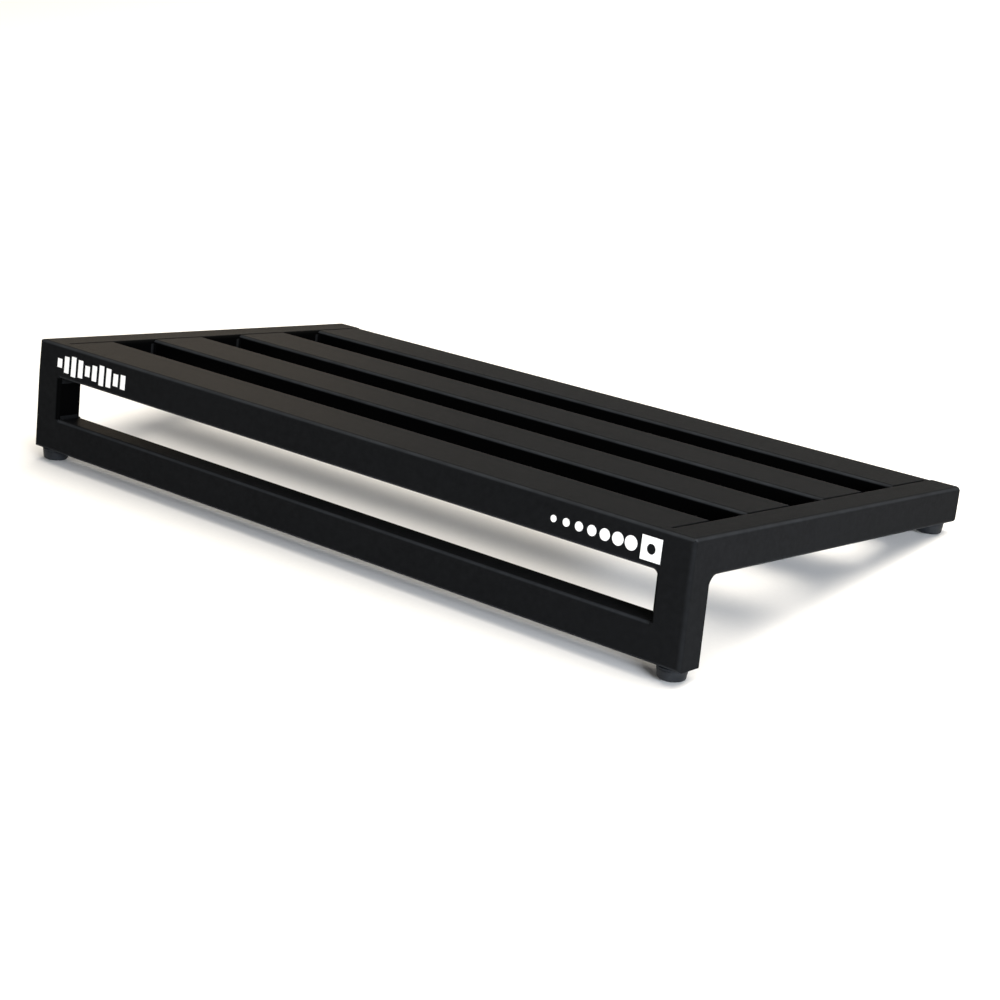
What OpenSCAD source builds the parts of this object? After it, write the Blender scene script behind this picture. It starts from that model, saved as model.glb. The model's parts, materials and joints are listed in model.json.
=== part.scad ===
// Sloping pedalboard: a welded frame of rectangular tube on four rubber feet.
// Millimetres, +Z up, origin on the floor under the middle of the footprint.
// The tall edge faces -Y and the low edge faces +Y.
//
// Most modules are drawn in the deck's own frame and tilted into place by on_deck():
// x runs along the board, y = 0 is the tall edge and grows towards the low edge, and
// z = 0 is the top of the deck. The tall frame below the deck hangs from in_tall_frame().

/* [Deck] */
// Length of the board, end to end
board_l = 609.6; // [450:0.1:760]
// Depth of the deck, measured along its slope
deck_d = 317.5; // [300:0.1:360]
// Angle between the deck and the floor
deck_slope = 11; // [10:0.5:12]
// Width of each cross rail
rail_w = 50.8; // [44:0.1:56]

/* [Tube] */
// Height of the deck tubes and of the lower rail
tube_h = 25.4; // [22:0.1:28]
// Width of the side rails and of the legs
side_w = 25.4; // [22:0.1:30]
// Depth of the legs and of the lower rail
leg_d = 22.2; // [21:0.1:25]
// Wall thickness of every tube
wall = 1.65; // [1.2:0.05:1.9]
// Outside corner radius of every tube
corner_r = 3.1; // [2.6:0.1:3.2]
// Thickness of the plates that close the tube ends
plate_t = 3.2; // [3.2:0.1:4]
// Lean of the tall frame from square to the deck
leg_rake = 1.8; // [0:0.1:3]

/* [Feet] */
// Radius of a foot against the tube
foot_r = 10; // [9:0.1:10.5]
// Radius of a foot near the floor
foot_tip_r = 9.1; // [8.6:0.1:9.4]
// Height of a foot
foot_h = 8.4; // [8:0.1:10]
// Rounding of a foot's lower rim
foot_rim_r = 2; // [1.5:0.1:2.5]
// How far the rim is pressed flat where it stands on the floor
foot_squash = 0.4; // [0.2:0.1:0.6]
// Distance from the low edge of the deck to the axis of a front foot
front_foot_inset = 12.7; // [12:0.1:30]

/* [Welds] */
// Fillet between a leg and its side rail
leg_fillet = 8.5; // [3:0.1:10]
// Fillet in the upper corners of the tall frame's window
window_top_fillet = 4.5; // [2:0.1:6]
// Fillet in the lower corners of the tall frame's window
window_foot_fillet = 2.5; // [2:0.1:4]
// Fillet up the corners of the gaps in the deck
gap_fillet = 2.5; // [1.5:0.1:4]
// Length of the deck seams that are filled and ground smooth at the tall and low edges
ground_seam_l = 9; // [6:0.5:15]

/* [Badges] */
// Height of the badges on the tall face
badge_h = 15; // [10:0.5:16]
// Thickness of the badge film
badge_t = 0.25; // [0.2:0.05:0.4]
// Bars in the level meter of the left badge
bar_count = 10; // [5:1:12]
// Dots in the row of the right badge
dot_count = 7; // [4:1:8]

/* [Hidden] */
$fn = 48;

// Sides of the board, as the sign of x
LEFT = -1;
RIGHT = 1;

// Overlap that joins two solids of one piece
eps = 0.01;
cross_l = board_l - 2 * side_w;
cross_pitch = (deck_d - rail_w) / 3;
cross_y = [for (i = [0:3]) rail_w / 2 + i * cross_pitch];
side_x = (board_l - side_w) / 2;
inner_x = board_l / 2 - side_w;

// Foot fixings
hole_r = 2.1;
shank_r = 2;
washer_r = 5;
washer_t = 1;
head_r = 3.8;
head_h = 2.4;
head_dish = 0.6;
pocket_r = 5.6;
pocket_h = 4.4;
screw_l = 14;
socket_r = 1.3;
socket_h = 1.5;

// Badges
badge_z = -tube_h / 2 - 1;
badge_inset = 23;
bar_pitch = 8;
dot_pitch = 10;
dot_max_r = 4.6;

// The front feet stand square to the deck and the rear feet square to the tall frame, so
// each leans on its rim. The legs are as long as it takes for all four to reach the floor.
lean = deck_slope - leg_rake;
front_foot_y = deck_d - front_foot_inset;
function foot_reach(tilt) =
    (foot_h - foot_rim_r) * cos(tilt) + (foot_tip_r - foot_rim_r) * sin(tilt) + foot_rim_r;
front_drop = front_foot_y * sin(deck_slope) + foot_reach(deck_slope);
rear_drop = leg_d / 2 * sin(lean) + foot_reach(lean);
frame_drop = (front_drop - rear_drop) / cos(lean);
window_h = frame_drop - tube_h;

// Where the deck's tall top edge stands above the floor, and the ends of the footprint
deck_z = front_drop + tube_h * cos(deck_slope) - foot_squash;
tall_y = -tube_h * sin(deck_slope) - corner_r + corner_r * cos(lean)
    - (frame_drop - corner_r) * sin(lean);
low_y = deck_d * cos(deck_slope);

module on_deck() {
    translate([0, -(tall_y + low_y) / 2, deck_z])
        rotate([-deck_slope, 0, 0])
            children();
}

// Frame of the tall face: y goes in from the face, z = 0 is the underside of the deck tubes
module in_tall_frame() {
    translate([0, 0, -tube_h])
        rotate([leg_rake, 0, 0])
            children();
}

// ---- Flat outlines ----

module rounded_rect(w, h, r) {
    square([w - 2 * r, h], center = true);
    square([w, h - 2 * r], center = true);
    for (x = [-1, 1], y = [-1, 1])
        translate([x * (w / 2 - r), y * (h / 2 - r)])
            circle(r);
}

module tube_outline(w, h) {
    difference() {
        rounded_rect(w, h, corner_r);
        rounded_rect(w - 2 * wall, h - 2 * wall, corner_r - wall);
    }
}

// What a round of radius r takes off a square corner at the origin
module corner_cut(r) {
    difference() {
        translate([-1, -1])
            square(r + 1);
        translate([r, r])
            circle(r);
    }
}

// Section of a concave weld of leg r in a square corner at the origin
module fillet_outline(r) {
    tip = 0.12;
    difference() {
        square(r);
        translate([r + tip, r + tip])
            circle(r);
    }
}

// ---- Tubes and plates ----

module tube_along_x(l, w, h) {
    rotate([90, 0, 90])
        linear_extrude(l, center = true)
            tube_outline(w, h);
}

module prism_along_x(l) {
    rotate([90, 0, 90])
        linear_extrude(l, center = true)
            children();
}

module prism_along_y(y0, y1) {
    translate([0, y1, 0])
        rotate([90, 0, 0])
            linear_extrude(y1 - y0)
                children();
}

module cross_rail(i) {
    color("#2b2a28")
        on_deck()
            translate([0, cross_y[i], -tube_h / 2])
                tube_along_x(cross_l, rail_w, tube_h);
}

module rear_top_rail() cross_rail(0);
module second_cross_rail() cross_rail(1);
module third_cross_rail() cross_rail(2);
module front_rail() cross_rail(3);

module foot_hole() {
    cylinder(h = 4 * wall, r = hole_r, center = true);
}

module side_rail(side) {
    color("#2b2a28")
        on_deck()
            difference() {
                translate([side * side_x, 0, -tube_h / 2])
                    prism_along_y(plate_t, deck_d - plate_t)
                        tube_outline(side_w, tube_h);
                translate([side * side_x, front_foot_y, -tube_h])
                    foot_hole();
            }
}

// A leg stands on the lower rail and is cut on top to the slope of the deck's underside
module leg(side) {
    color("#24262a")
        on_deck()
            intersection() {
                in_tall_frame()
                    translate([side * side_x, leg_d / 2, -window_h])
                        linear_extrude(window_h + 1)
                            tube_outline(side_w, leg_d);
                translate([side * side_x, leg_d / 2, -tube_h - 50])
                    cube([side_w + 2, 2 * leg_d, 100], center = true);
            }
}

module rear_lower_rail() {
    color("#24262a")
        on_deck()
            in_tall_frame()
                difference() {
                    translate([0, leg_d / 2, -frame_drop + tube_h / 2])
                        tube_along_x(board_l - 2 * plate_t, leg_d, tube_h);
                    for (side = [LEFT, RIGHT])
                        translate([side * side_x, leg_d / 2, -frame_drop])
                            foot_hole();
                }
}

// Plate on the tall end of a side rail: its upper and outer edges are ground round
module rear_end_plate(side) {
    color("#24262a")
        on_deck()
            mirror([side == LEFT ? 1 : 0, 0, 0])
                difference() {
                    translate([inner_x, 0, -tube_h])
                        cube([side_w, plate_t, tube_h]);
                    translate([inner_x + side_w, 0, 0])
                        rotate([0, 180, 0])
                            prism_along_y(-1, plate_t + 1)
                                corner_cut(corner_r);
                    translate([side_x, 0, 0])
                        mirror([0, 0, 1])
                            prism_along_x(side_w + 2)
                                corner_cut(corner_r);
                    translate([inner_x + side_w, 0, -tube_h - 1])
                        rotate([0, 0, 90])
                            linear_extrude(tube_h + 2)
                                corner_cut(corner_r);
                }
}

// Plate on the low end of a side rail, with the tube's own outline
module front_end_plate(side) {
    color("#2b2a28")
        on_deck()
            translate([side * side_x, 0, -tube_h / 2])
                prism_along_y(deck_d - plate_t, deck_d)
                    rounded_rect(side_w, tube_h, corner_r);
}

// Plate on the end of the lower rail: round below and up the outer edges, flush with the leg
module lower_end_plate(side) {
    color("#24262a")
        on_deck()
            in_tall_frame()
                mirror([side == LEFT ? 1 : 0, 0, 0])
                    translate([board_l / 2 - plate_t, 0, -frame_drop])
                        intersection() {
                            translate([plate_t / 2, 0, 0])
                                prism_along_x(plate_t)
                                    difference() {
                                        square([leg_d, tube_h]);
                                        corner_cut(corner_r);
                                        translate([leg_d, 0])
                                            mirror([1, 0])
                                                corner_cut(corner_r);
                                    }
                            translate([plate_t - side_w / 2, leg_d / 2, 0])
                                linear_extrude(tube_h)
                                    rounded_rect(side_w, leg_d, corner_r);
                        }
}

// ---- Welds ----

// Where gap i of the deck starts (edge 0) and ends (edge 1)
function gap_edge_y(i, edge) = cross_y[i] + rail_w / 2 + edge * (cross_pitch - rail_w);

// Upright fillets where a cross rail meets a side rail inside a gap of the deck
module gap_welds() {
    weld_h = tube_h - 2 * corner_r;
    color("#1c1c1c")
        on_deck()
            for (side = [LEFT, RIGHT], i = [0:2], edge = [0, 1])
                translate([side * inner_x, gap_edge_y(i, edge), -tube_h + corner_r])
                    mirror([side == RIGHT ? 1 : 0, 0, 0])
                        mirror([0, edge, 0])
                            linear_extrude(weld_h)
                                fillet_outline(gap_fillet);
}

// Rounded tube edges that are filled and ground flush with the faces beside them
module ground_seam_welds() {
    color("#24262a")
        on_deck()
            for (side = [LEFT, RIGHT])
                mirror([side == LEFT ? 1 : 0, 0, 0]) {
                    tall_seam_fill();
                    low_seam_fill();
                    leg_head_fill();
                    in_tall_frame()
                        leg_foot_fill();
                }
}

module edge_fill() {
    intersection() {
        square(corner_r);
        corner_cut(corner_r);
    }
}

module tall_seam_fill() {
    translate([inner_x, 0, 0])
        mirror([0, 0, 1])
            prism_along_y(plate_t, ground_seam_l)
                edge_fill();
}

// This one is ground round where the low edge of the deck is round
module low_seam_fill() {
    difference() {
        translate([inner_x, 0, 0])
            mirror([0, 0, 1])
                prism_along_y(deck_d - ground_seam_l, deck_d)
                    edge_fill();
        translate([inner_x, deck_d, 0])
            mirror([0, 1, 0])
                mirror([0, 0, 1])
                    prism_along_x(3 * corner_r)
                        corner_cut(corner_r);
    }
}

module leg_head_fill() {
    translate([board_l / 2, 0, -tube_h])
        mirror([1, 0, 0])
            prism_along_y(plate_t, leg_d - corner_r)
                edge_fill();
}

module leg_foot_fill() {
    for (back = [0, 1])
        translate([side_x - plate_t / 2, back * leg_d, -window_h])
            mirror([0, back, 0])
                mirror([0, 0, 1])
                    prism_along_x(side_w - plate_t)
                        edge_fill();
}

// Fillets in the four corners of the window in the tall face
module window_welds() {
    color("#24262a")
        on_deck()
            for (side = [LEFT, RIGHT])
                mirror([side == RIGHT ? 1 : 0, 0, 0]) {
                    translate([-inner_x, 0, -tube_h])
                        mirror([0, 0, 1])
                            prism_along_y(corner_r, leg_d - corner_r)
                                fillet_outline(window_top_fillet);
                    in_tall_frame()
                        translate([-inner_x, 0, -window_h])
                            prism_along_y(corner_r, leg_d - corner_r)
                                fillet_outline(window_foot_fillet);
                }
}

// Fillets between the back of each leg and the underside of its side rail
module leg_welds() {
    color("#24262a")
        on_deck()
            for (side = [LEFT, RIGHT])
                difference() {
                    translate([side * side_x, leg_d, -tube_h])
                        mirror([0, 0, 1])
                            prism_along_x(side_w - 2 * corner_r)
                                fillet_outline(leg_fillet);
                    in_tall_frame()
                        translate([side * side_x, leg_d / 2, -window_h / 2])
                            cube([side_w, leg_d, window_h], center = true);
                }
}

// ---- Feet ----

// Puts its children at a foot's place with +z pointing away from the tube
module at_foot(side, rear) {
    on_deck() {
        if (rear)
            in_tall_frame()
                translate([side * side_x, leg_d / 2, -frame_drop])
                    mirror([0, 0, 1])
                        children();
        else
            translate([side * side_x, front_foot_y, -tube_h])
                mirror([0, 0, 1])
                    children();
    }
}

module foot_body() {
    difference() {
        rotate_extrude() {
            polygon([
                [0, 0], [foot_r, 0], [foot_tip_r, foot_h - foot_rim_r],
                [foot_tip_r - foot_rim_r, foot_h], [0, foot_h]
            ]);
            translate([foot_tip_r - foot_rim_r, foot_h - foot_rim_r])
                intersection() {
                    circle(foot_rim_r);
                    square(foot_rim_r);
                }
        }
        translate([0, 0, -1])
            cylinder(h = foot_h, r = hole_r);
        translate([0, 0, foot_h - pocket_h])
            cylinder(h = pocket_h + 1, r = pocket_r);
    }
}

module foot(side, rear) {
    color("#3c4044")
        difference() {
            at_foot(side, rear)
                foot_body();
            translate([-board_l, -deck_d, -10])
                cube([2 * board_l, 2 * deck_d, 10]);
        }
}

module each_foot() {
    for (side = [LEFT, RIGHT], rear = [true, false])
        at_foot(side, rear)
            children();
}

module foot_washers() {
    color("#b8b8b4")
        each_foot()
            translate([0, 0, foot_h - pocket_h])
                difference() {
                    cylinder(h = washer_t, r = washer_r);
                    translate([0, 0, -1])
                        cylinder(h = washer_t + 2, r = hole_r);
                }
}

module foot_screws() {
    seat = foot_h - pocket_h + washer_t;
    color("#c4c4c0")
        each_foot()
            difference() {
                union() {
                    translate([0, 0, seat - screw_l])
                        cylinder(h = screw_l + eps, r = shank_r);
                    translate([0, 0, seat])
                        cylinder(h = head_h - head_dish, r = head_r);
                    translate([0, 0, seat + head_h - head_dish])
                        cylinder(h = head_dish, r1 = head_r, r2 = head_r - head_dish);
                }
                translate([0, 0, seat + head_h - socket_h])
                    cylinder(h = socket_h + 1, r = socket_r, $fn = 6);
            }
}

// ---- Badges: plain graphic marks in thin white film on the tall face ----

module on_tall_face(x) {
    on_deck()
        translate([x, 0, badge_z])
            rotate([90, 0, 0])
                linear_extrude(badge_t)
                    children();
}

// A row of bars, as on a level meter
module meter_bars() {
    for (i = [0:bar_count - 1]) {
        bar_h = badge_h * (0.45 + 0.55 * abs(sin(i * 137)));
        translate([i * bar_pitch, -bar_h / 2])
            square([0.62 * bar_pitch, bar_h]);
    }
}

// A row of dots that grow to the right, as on a volume scale
module growing_dots() {
    for (i = [1:dot_count])
        translate([(i - dot_count) * dot_pitch, 0])
            circle(dot_max_r * (0.4 + 0.6 * i / dot_count));
}

// A square with a round hole, as a picture of a knob
module knob_tile() {
    difference() {
        square(badge_h, center = true);
        circle(0.22 * badge_h);
    }
}

module left_badge() {
    color("white")
        on_tall_face(-board_l / 2 + badge_inset)
            meter_bars();
}

module right_badge() {
    tile_x = board_l / 2 - badge_inset - badge_h / 2;
    color("white") {
        on_tall_face(tile_x)
            knob_tile();
        on_tall_face(tile_x - badge_h / 2 - dot_max_r - 3)
            growing_dots();
    }
}

// ---- The part ----

rear_top_rail();
second_cross_rail();
third_cross_rail();
front_rail();
side_rail(LEFT);  // left_side_rail
side_rail(RIGHT);  // right_side_rail
leg(LEFT);  // left_leg
leg(RIGHT);  // right_leg
rear_lower_rail();
rear_end_plate(LEFT);  // left_rear_end_plate
rear_end_plate(RIGHT);  // right_rear_end_plate
front_end_plate(LEFT);  // left_front_end_plate
front_end_plate(RIGHT);  // right_front_end_plate
lower_end_plate(LEFT);  // left_lower_end_plate
lower_end_plate(RIGHT);  // right_lower_end_plate
gap_welds();
ground_seam_welds();
window_welds();
leg_welds();
foot(LEFT, true);  // foot_rear_left
foot(RIGHT, true);  // foot_rear_right
foot(LEFT, false);  // foot_front_left
foot(RIGHT, false);  // foot_front_right
foot_washers();
foot_screws();
left_badge();
right_badge();
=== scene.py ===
"""Looks of a sloping pedalboard: a black powder-coated frame on rubber feet, on a pale floor.

Metres, +Z up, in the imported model's own frame: the tall edge faces -Y, the low edge +Y.
"""

import json
import math

import bmesh
import bpy
from mathutils import Matrix, Vector


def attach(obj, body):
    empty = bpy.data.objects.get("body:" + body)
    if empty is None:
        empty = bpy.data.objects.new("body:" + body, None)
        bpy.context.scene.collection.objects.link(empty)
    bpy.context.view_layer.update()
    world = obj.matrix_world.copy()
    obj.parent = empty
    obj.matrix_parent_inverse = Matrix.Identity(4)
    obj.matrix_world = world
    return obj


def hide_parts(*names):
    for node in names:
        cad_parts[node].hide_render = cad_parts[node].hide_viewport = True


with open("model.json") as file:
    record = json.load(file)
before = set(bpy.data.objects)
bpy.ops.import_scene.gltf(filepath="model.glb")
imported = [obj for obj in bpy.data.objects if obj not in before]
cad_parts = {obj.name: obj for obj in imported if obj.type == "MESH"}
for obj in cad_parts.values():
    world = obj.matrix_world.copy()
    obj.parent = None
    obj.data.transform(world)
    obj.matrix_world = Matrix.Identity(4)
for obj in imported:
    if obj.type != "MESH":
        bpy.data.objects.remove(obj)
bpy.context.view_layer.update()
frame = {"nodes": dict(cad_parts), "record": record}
NODES = frame["nodes"]
scene = bpy.context.scene

# The deck's own frame, as the part's source places it: its tall top edge and its slope
DECK_SLOPE = math.radians(11)
LEG_RAKE = math.radians(1.8)
DECK_Y = -0.1490569
DECK_Z = 0.0923291
TUBE_H = 0.0254
LEG_D = 0.0222
SIDE_X = 0.2921
FRAME_DROP = 0.0573054
FRONT_FOOT_Y = 0.3048

# Tube section, and the fillet between a leg and its side rail
SIDE_W = 0.0254
CORNER_R = 0.0031
LEG_FILLET = 0.007

# Feet and their fixings
FOOT_H = 0.0084
POCKET_H = 0.0044
WASHER_T = 0.001
TURNS = 96


# ---------------------------------------------------------------- node helpers

class Tree:
    """A material's node tree, with short calls to add and join nodes."""

    def __init__(self, name):
        self.material = bpy.data.materials.new(name)
        self.material.use_nodes = True
        self.tree = self.material.node_tree
        self.shader = self.tree.nodes["Principled BSDF"]

    def add(self, kind, **settings):
        node = self.tree.nodes.new(kind)
        for key, value in settings.items():
            setattr(node, key, value)
        return node

    def join(self, output, target):
        self.tree.links.new(output, target)

    def put(self, target, value):
        if isinstance(value, bpy.types.NodeSocket):
            self.join(value, target)
        else:
            target.default_value = value

    def set(self, **inputs):
        """Sets or joins the shader's inputs, named with _ for a space."""
        for key, value in inputs.items():
            self.put(self.shader.inputs[key.replace("_", " ")], value)

    def noise(self, scale, detail=2.0, stretch=(1, 1, 1)):
        """Noise in the object's own space, scale in cells per metre."""
        mapping = self.add("ShaderNodeMapping")
        mapping.inputs["Scale"].default_value = stretch
        self.join(self.add("ShaderNodeTexCoord").outputs["Object"], mapping.inputs["Vector"])
        node = self.add("ShaderNodeTexNoise")
        self.join(mapping.outputs["Vector"], node.inputs["Vector"])
        node.inputs["Scale"].default_value = scale
        node.inputs["Detail"].default_value = detail
        return node.outputs["Fac"]

    def remap(self, value, low, high, to_low=0.0, to_high=1.0):
        node = self.add("ShaderNodeMapRange")
        self.join(value, node.inputs["Value"])
        for key, number in (("From Min", low), ("From Max", high), ("To Min", to_low), ("To Max", to_high)):
            node.inputs[key].default_value = number
        return node.outputs["Result"]

    def math(self, operation, a, b=0.0):
        node = self.add("ShaderNodeMath", operation=operation)
        self.put(node.inputs[0], a)
        self.put(node.inputs[1], b)
        return node.outputs[0]

    def mix(self, factor, a, b):
        node = self.add("ShaderNodeMix", data_type="RGBA")
        for key, value in (("Factor", factor), ("A", a), ("B", b)):
            self.put(next(s for s in node.inputs if s.name == key and s.enabled), value)
        return next(s for s in node.outputs if s.enabled)

    def bump(self, height, distance, under=None):
        node = self.add("ShaderNodeBump")
        node.inputs["Distance"].default_value = distance
        self.join(height, node.inputs["Height"])
        if under is not None:
            self.join(under, node.inputs["Normal"])
        return node.outputs["Normal"]

    def deck_normal(self):
        """The surface normal along the board, towards the low edge, and square to the deck."""
        turn = self.add("ShaderNodeVectorRotate", rotation_type="X_AXIS")
        self.join(self.add("ShaderNodeNewGeometry").outputs["Normal"], turn.inputs["Vector"])
        turn.inputs["Angle"].default_value = DECK_SLOPE
        axes = self.add("ShaderNodeSeparateXYZ")
        self.join(turn.outputs["Vector"], axes.inputs["Vector"])
        return axes.outputs

    def level_edges(self, x, y, z):
        """1 on rounded level edges, faint on rounded upright ones, and 0 on flat faces."""
        x, y, z = (self.math("ABSOLUTE", part) for part in (x, y, z))
        largest = self.math("MAXIMUM", self.math("MAXIMUM", x, y), z)
        rounded = self.remap(largest, 0.97, 0.84)
        return self.math("MULTIPLY", rounded, self.remap(z, 0.1, 0.5, 0.12, 1.0))


def blue_black(value):
    return (0.94 * value, value, 1.1 * value, 1)


# ---------------------------------------------------------------- materials

def powder_coat(name, edge_highlight=1.0, gap_sides=(), inner_side=0):
    """Satin black powder coat: fine grain over faint orange peel, with a painted highlight on rounded level
    edges.

    gap_sides names a cross rail's sides that face a gap of the deck, -1 towards the tall edge
    and 1 towards the low edge. inner_side is the side of a side rail or leg that faces the
    middle of the board, as the sign of x. Both get painted shade, darker than the real coat, to
    make up for light that the bright floor throws up onto them; inner sides get no painted
    highlight. edge_highlight scales the painted highlight.
    """
    t = Tree(name)
    grain = t.noise(2200, detail=3)
    peel = t.noise(420, detail=1.5)
    mottle = t.noise(240, detail=4)
    cloud = t.noise(11, detail=3)
    tone = t.mix(t.remap(cloud, 0.3, 0.7), blue_black(0.0058), blue_black(0.0070))
    tone = t.mix(t.remap(mottle, 0.3, 0.7), tone, blue_black(0.0082))
    x, y, z = t.deck_normal()
    # Painted shade: sides that face a gap of the deck are mixed to near black
    for side in gap_sides:
        tone = t.mix(t.remap(y, 0.5 * side, 0.9 * side), tone, blue_black(0.0008))
    # Painted highlight on rounded level edges, standing for the overhead light's reflection, broken up by
    # noise
    highlight_breakup = t.remap(t.noise(60, detail=5), 0.35, 0.65, 0.7, 1.0)
    painted_highlight = t.math("MULTIPLY", t.level_edges(x, y, z), t.math("MULTIPLY", highlight_breakup, edge_highlight))
    # Painted shade: inner sides are mixed to near black and lose the painted highlight
    if inner_side:
        painted_inner_shade = t.remap(x, 0.1 * inner_side, 0.5 * inner_side)
        tone = t.mix(painted_inner_shade, tone, blue_black(0.0008))
        painted_highlight = t.math("MULTIPLY", painted_highlight, t.math("SUBTRACT", 1.0, painted_inner_shade))
    # Base colour: the coat's tone, turned a paler blue-grey under the painted highlight
    t.set(Base_Color=t.mix(painted_highlight, tone, (0.022, 0.024, 0.027, 1)))
    rough = t.remap(grain, 0.3, 0.7, 0.42, 0.52)
    t.set(Roughness=t.math("SUBTRACT", rough, t.math("MULTIPLY", painted_highlight, 0.06)))
    t.set(Specular_IOR_Level=0.006)
    t.set(Normal=t.bump(peel, 0.00006, under=t.bump(grain, 0.00003)))
    return t.material


def rubber():
    """Moulded grey-black rubber with a dusty bloom and fine moulding texture."""
    t = Tree("moulded_rubber")
    dust = t.noise(170, detail=5)
    speck = t.noise(2600, detail=2)
    t.set(Base_Color=t.mix(t.remap(dust, 0.4, 0.7), (0.008, 0.0095, 0.012, 1), (0.016, 0.018, 0.021, 1)))
    t.set(Roughness=t.remap(dust, 0.3, 0.7, 0.42, 0.6))
    t.set(Specular_IOR_Level=0.12)
    t.set(Normal=t.bump(speck, 0.00004))
    return t.material


def zinc_steel():
    """Bright zinc plate, with a slightly blotchy gloss."""
    t = Tree("zinc_plate")
    blotch = t.noise(400, detail=4)
    scratch = t.noise(900, detail=3, stretch=(1, 8, 1))
    t.set(Base_Color=t.mix(t.remap(blotch, 0.35, 0.65), (0.52, 0.53, 0.54, 1), (0.64, 0.63, 0.60, 1)))
    t.set(Metallic=1.0)
    t.set(Roughness=t.remap(blotch, 0.3, 0.7, 0.24, 0.4))
    t.set(Normal=t.bump(scratch, 0.00002))
    return t.material


def white_film():
    """Printed white film with the coat's peel showing faintly through."""
    t = Tree("printed_film")
    peel = t.noise(420, detail=1.5)
    t.set(Base_Color=t.mix(t.remap(peel, 0.3, 0.7), (0.86, 0.86, 0.86, 1), (0.92, 0.92, 0.92, 1)))
    t.set(Roughness=t.remap(peel, 0.3, 0.7, 0.4, 0.5))
    t.set(Normal=t.bump(peel, 0.00003))
    return t.material


def studio_paper():
    """Matt white backdrop paper."""
    t = Tree("studio_paper")
    tooth = t.noise(300, detail=4)
    t.set(Base_Color=t.mix(tooth, (0.80, 0.80, 0.80, 1), (0.84, 0.84, 0.84, 1)))
    t.set(Roughness=0.9)
    return t.material


MATERIALS = {
    "frame_coat": powder_coat("powder_coat"),
    "foot_rubber": rubber(),
    "zinc_steel": zinc_steel(),
    "white_film": white_film(),
}
# Copies of the coat differ only in how strong the painted edge highlight is and where painted shade falls
WELD_COAT = powder_coat("powder_coat_on_welds", edge_highlight=0.0)
MIDDLE_RAIL_COAT = powder_coat("powder_coat_on_middle_rails", gap_sides=(-1, 1))
END_PLATE_COAT = powder_coat("powder_coat_on_end_plates", edge_highlight=0.6)
LEFT_COAT = powder_coat("powder_coat_on_left_side", edge_highlight=0.6, inner_side=1)
RIGHT_COAT = powder_coat("powder_coat_on_right_side", edge_highlight=0.6, inner_side=-1)
COAT_OF_NODE = {
    "rear_top_rail": powder_coat("powder_coat_on_rear_rail", gap_sides=(1,)),
    "second_cross_rail": MIDDLE_RAIL_COAT,
    "third_cross_rail": MIDDLE_RAIL_COAT,
    "front_rail": powder_coat("powder_coat_on_front_rail", gap_sides=(-1,)),
    "left_side_rail": LEFT_COAT,
    "right_side_rail": RIGHT_COAT,
    "left_leg": LEFT_COAT,
    "right_leg": RIGHT_COAT,
    "left_front_end_plate": END_PLATE_COAT,
    "right_front_end_plate": END_PLATE_COAT,
    "gap_welds": powder_coat("powder_coat_on_gap_welds", edge_highlight=0.0, gap_sides=(-1, 1)),
    "ground_seam_welds": WELD_COAT,
    "window_welds": WELD_COAT,
    "leg_welds": WELD_COAT,
}


def material_of(node, slot):
    return COAT_OF_NODE.get(node, MATERIALS[slot])


def coat_cad_nodes():
    for part in frame["record"]["subparts"]:
        node = part["node"]
        materials = NODES[node].data.materials
        materials.clear()
        materials.append(material_of(node, part["material_slot"]))


# ---------------------------------------------------------------- turned pieces

def foot_places():
    """Where each foot meets its tube, with +Z pointing away from the tube, by CAD node name."""
    deck = Matrix.Translation((0, DECK_Y, DECK_Z)) @ Matrix.Rotation(-DECK_SLOPE, 4, "X")
    tall_frame = deck @ Matrix.Translation((0, 0, -TUBE_H)) @ Matrix.Rotation(LEG_RAKE, 4, "X")
    turn_over = Matrix.Rotation(math.pi, 4, "X")
    places = {}
    for name, x in (("left", -SIDE_X), ("right", SIDE_X)):
        rear = tall_frame @ Matrix.Translation((x, LEG_D / 2, -FRAME_DROP))
        front = deck @ Matrix.Translation((x, FRONT_FOOT_Y, -TUBE_H))
        places["foot_rear_" + name] = rear @ turn_over
        places["foot_front_" + name] = front @ turn_over
    return places


def ring_at(bm, radius, height, place):
    angles = [2 * math.pi * i / TURNS for i in range(TURNS)]
    points = [Vector((radius * math.cos(a), radius * math.sin(a), height)) for a in angles]
    return [bm.verts.new(place @ point) for point in points]


def join_rings(bm, ring, after):
    for i in range(TURNS):
        j = (i + 1) % TURNS
        bm.faces.new((ring[i], ring[j], after[j], after[i]))


def lathe(bm, outline, place):
    """Turns a closed outline of (radius, height) points around +Z, and puts it at place."""
    rings = [ring_at(bm, r, z, place) for r, z in outline]
    for ring, after in zip(rings, rings[1:] + rings[:1]):
        join_rings(bm, ring, after)


def arc(centre, radius, start, end, steps):
    """Points along an arc of an outline, angles in degrees."""
    angles = [math.radians(start + (end - start) * i / steps) for i in range(steps + 1)]
    return [(centre[0] + radius * math.cos(a), centre[1] + radius * math.sin(a)) for a in angles]


def finish_piece(name, bm, slot, node):
    """Makes the mesh into a piece that stands for a CAD node."""
    bmesh.ops.recalc_face_normals(bm, faces=bm.faces)
    mesh = bpy.data.meshes.new(name)
    bm.to_mesh(mesh)
    bm.free()
    mesh.materials.append(material_of(node, slot))
    mesh.shade_smooth()
    mesh.set_sharp_from_angle(angle=math.radians(38))
    piece = bpy.data.objects.new(name, mesh)
    scene.collection.objects.link(piece)
    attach(piece, "root")
    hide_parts(node)


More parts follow.
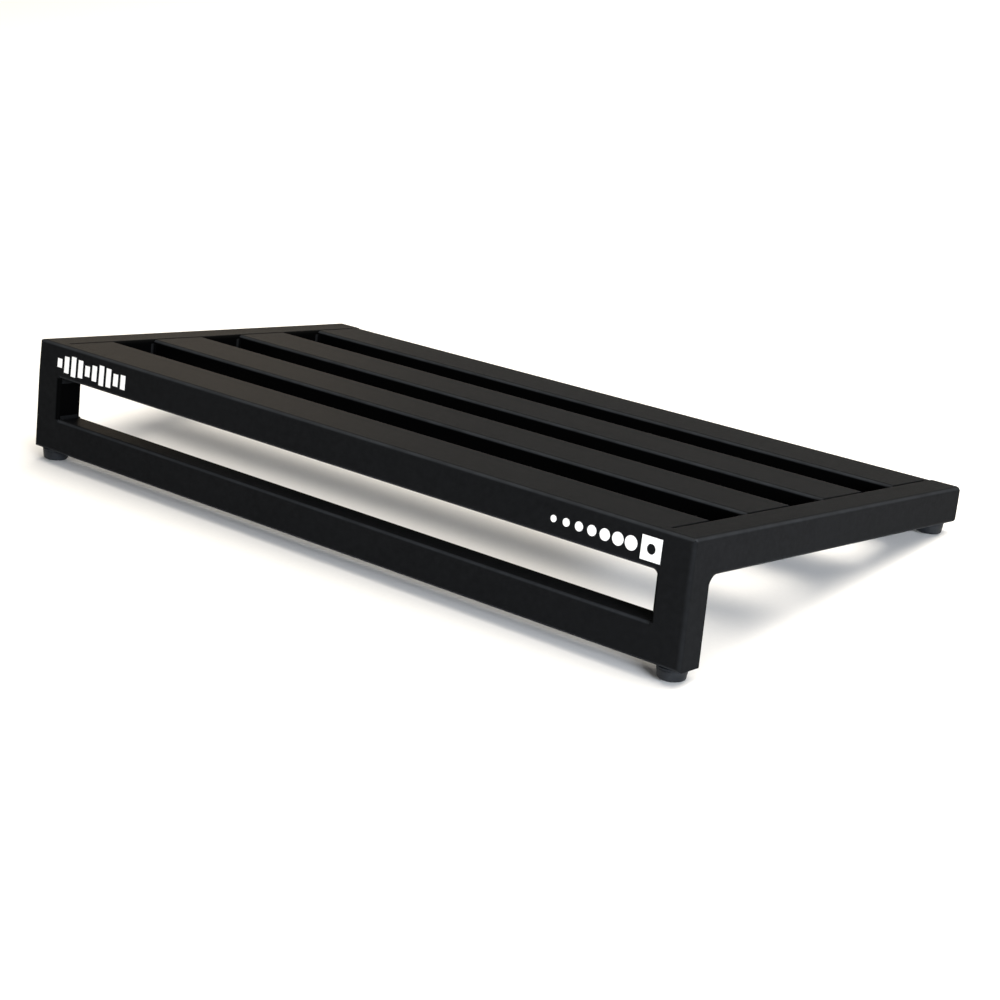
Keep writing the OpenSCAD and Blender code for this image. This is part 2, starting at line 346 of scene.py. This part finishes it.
def foot_outline():
    """Section of a foot: seat lip, tapered wall with a parting groove, round rim, screw pocket."""
    lip = arc((0.0096, 0.0004), 0.0004, -90, 0, 3)
    groove = arc((0.00978, 0.0016), 0.00025, 270, 90, 4)
    rim = arc((0.0071, FOOT_H - 0.002), 0.002, 8, 90, 8)
    pocket_lip = arc((0.0061, FOOT_H - 0.0005), 0.0005, 90, 180, 3)
    pocket_floor = [(0.0056, FOOT_H - POCKET_H), (0.0021, FOOT_H - POCKET_H)]
    return [(0.0021, 0.0), *lip, *groove, *rim, *pocket_lip, *pocket_floor]


def add_foot(node, place):
    """A foot, its rim pressed flat where it would reach below the floor."""
    bm = bmesh.new()
    lathe(bm, foot_outline(), place)
    for vert in bm.verts:
        vert.co.z = max(vert.co.z, 0.0)
    finish_piece("turned_" + node, bm, "foot_rubber", node)


def washer_outline():
    low = FOOT_H - POCKET_H
    high = low + WASHER_T
    cut = 0.00015
    outside = [(0.005 - cut, low), (0.005, low + cut), (0.005, high - cut), (0.005 - cut, high)]
    return [(0.0021, low), *outside, (0.0021 + cut, high), (0.0021, high - cut)]


def add_washers(places):
    bm = bmesh.new()
    for place in places:
        lathe(bm, washer_outline(), place)
    finish_piece("turned_washers", bm, "zinc_steel", "foot_washers")


def screw_profile():
    """Radius and height up one screw, from its tip to the flat of its head."""
    seat = FOOT_H - POCKET_H + WASHER_T
    threads = []
    for i in range(16):
        z = seat - 0.0138 + i * 0.0008
        threads += [(0.0017, z), (0.002, z + 0.0003), (0.002, z + 0.0005)]
    shoulder = [(0.0017, seat - 0.0006), (0.002, seat - 0.0003), (0.002, seat), (0.0037, seat)]
    crown = arc((0.0029, seat + 0.0015), 0.0009, -20, 90, 7)
    return [(0.0012, seat - 0.014), *threads, *shoulder, *crown, (0.0016, seat + 0.0024)]


def hexagon_at(bm, radius, height, place):
    corners = [math.radians(60 * i) for i in range(6)]
    points = [Vector((radius * math.cos(a), radius * math.sin(a), height)) for a in corners]
    return [bm.verts.new(place @ point) for point in points]


def sink_socket(bm, rim, top, place):
    """Closes the head inside its rim with a hexagon socket."""
    lip = hexagon_at(bm, 0.0013, top, place)
    floor = hexagon_at(bm, 0.0013, top - 0.0015, place)
    per_side = TURNS // 6
    for i in range(6):
        j = (i + 1) % 6
        span = [rim[(i * per_side + k) % TURNS] for k in range(per_side + 1)]
        bm.faces.new((*span, lip[j], lip[i]))
        bm.faces.new((lip[i], lip[j], floor[j], floor[i]))
    bm.faces.new(floor)


def add_screws(places):
    bm = bmesh.new()
    profile = screw_profile()
    for place in places:
        rings = [ring_at(bm, r, z, place) for r, z in profile]
        for ring, after in zip(rings, rings[1:]):
            join_rings(bm, ring, after)
        bm.faces.new(rings[0])
        sink_socket(bm, rings[-1], profile[-1][1], place)
    finish_piece("turned_screws", bm, "zinc_steel", "foot_screws")


# ---------------------------------------------------------------- leg welds

def edge_recess(across):
    """How far a tube's rounded edge has turned away at this distance from the tube's middle."""
    into_edge = abs(across) - (SIDE_W / 2 - CORNER_R)
    if into_edge <= 0:
        return 0.0
    return CORNER_R - math.sqrt(max(CORNER_R ** 2 - into_edge ** 2, 0.0))


def weld_slice(recess):
    """Section of a leg weld, y from the leg's back and z from the rail's underside."""
    points = arc((LEG_FILLET, -LEG_FILLET), LEG_FILLET + recess, 180, 90, 14)
    buried = recess + 0.0003
    return [(-buried, -LEG_FILLET), *points, (LEG_FILLET, buried), (-buried, buried)]


def add_leg_welds():
    """Ground fillets that follow the rounded edges of the leg and the rail on both sides."""
    deck = Matrix.Translation((0, DECK_Y, DECK_Z)) @ Matrix.Rotation(-DECK_SLOPE, 4, "X")
    half = SIDE_W / 2
    turned = [half - CORNER_R * (1 - math.sin(math.radians(a))) for a in range(0, 91, 10)]
    stations = [-across for across in reversed(turned)] + turned
    bm = bmesh.new()
    for x in (-SIDE_X, SIDE_X):
        corner = deck @ Matrix.Translation((x, LEG_D, -TUBE_H))
        rings = []
        for across in stations:
            outline = weld_slice(edge_recess(across))
            rings.append([bm.verts.new(corner @ Vector((across, y, z))) for y, z in outline])
        for ring, after in zip(rings, rings[1:]):
            for i in range(len(ring)):
                j = (i + 1) % len(ring)
                bm.faces.new((ring[i], ring[j], after[j], after[i]))
        bm.faces.new(rings[0])
        bm.faces.new(rings[-1])
    finish_piece("ground_leg_welds", bm, "frame_coat", "leg_welds")


# ---------------------------------------------------------------- stage

def add_floor():
    mesh = bpy.data.meshes.new("floor")
    half = 6.0
    low = -0.0001
    corners = [(-half, -half, low), (half, -half, low), (half, half, low), (-half, half, low)]
    mesh.from_pydata(corners, [], [(0, 1, 2, 3)])
    floor = bpy.data.objects.new("floor", mesh)
    scene.collection.objects.link(floor)
    mesh.materials.append(studio_paper())


def add_area_light(name, place, target, size, power, colour):
    light = bpy.data.lights.new(name, "AREA")
    light.shape = "RECTANGLE"
    light.size, light.size_y = size
    light.energy = power
    light.color = colour
    obj = bpy.data.objects.new(name, light)
    obj.location = place
    direction = Vector(target) - Vector(place)
    obj.rotation_euler = direction.to_track_quat("-Z", "Y").to_euler()
    obj.visible_camera = False
    scene.collection.objects.link(obj)


def add_world(colour, strength):
    world = bpy.data.worlds.new("studio")
    world.use_nodes = True
    background = world.node_tree.nodes["Background"]
    background.inputs["Color"].default_value = (*colour, 1)
    background.inputs["Strength"].default_value = strength
    scene.world = world


def add_camera():
    camera = bpy.data.cameras.new("camera")
    camera.lens = 77.33
    camera.shift_x = -0.0651
    camera.shift_y = -0.0495
    camera.clip_end = 50
    obj = bpy.data.objects.new("camera", camera)
    obj.location = (0.979, -1.0842, 0.5734)
    obj.rotation_euler = [math.radians(a) for a in (69.675, -0.113, 39.620)]
    scene.collection.objects.link(obj)
    scene.camera = obj


coat_cad_nodes()
feet = foot_places()
for node, place in feet.items():
    add_foot(node, place)
add_washers(feet.values())
add_screws(feet.values())
add_leg_welds()

add_camera()
add_floor()
add_world((1.0, 0.99, 0.97), 0.35)
add_area_light("key", (0.5, 1.1, 3.0), (-0.4, 0.4, 0), (3.6, 3.6), 236, (1.0, 0.93, 0.82))
add_area_light("horizon_card", (-3.9, 2.7, 0.7), (0, 0, 0.1), (2.0, 1.2), 18, (1.0, 0.8, 0.57))
add_area_light("fill", (2.2, -0.9, 0.6), (0.2, -0.15, 0.05), (0.8, 0.5), 74, (0.88, 0.93, 1.0))
scene.view_settings.view_transform = "Standard"
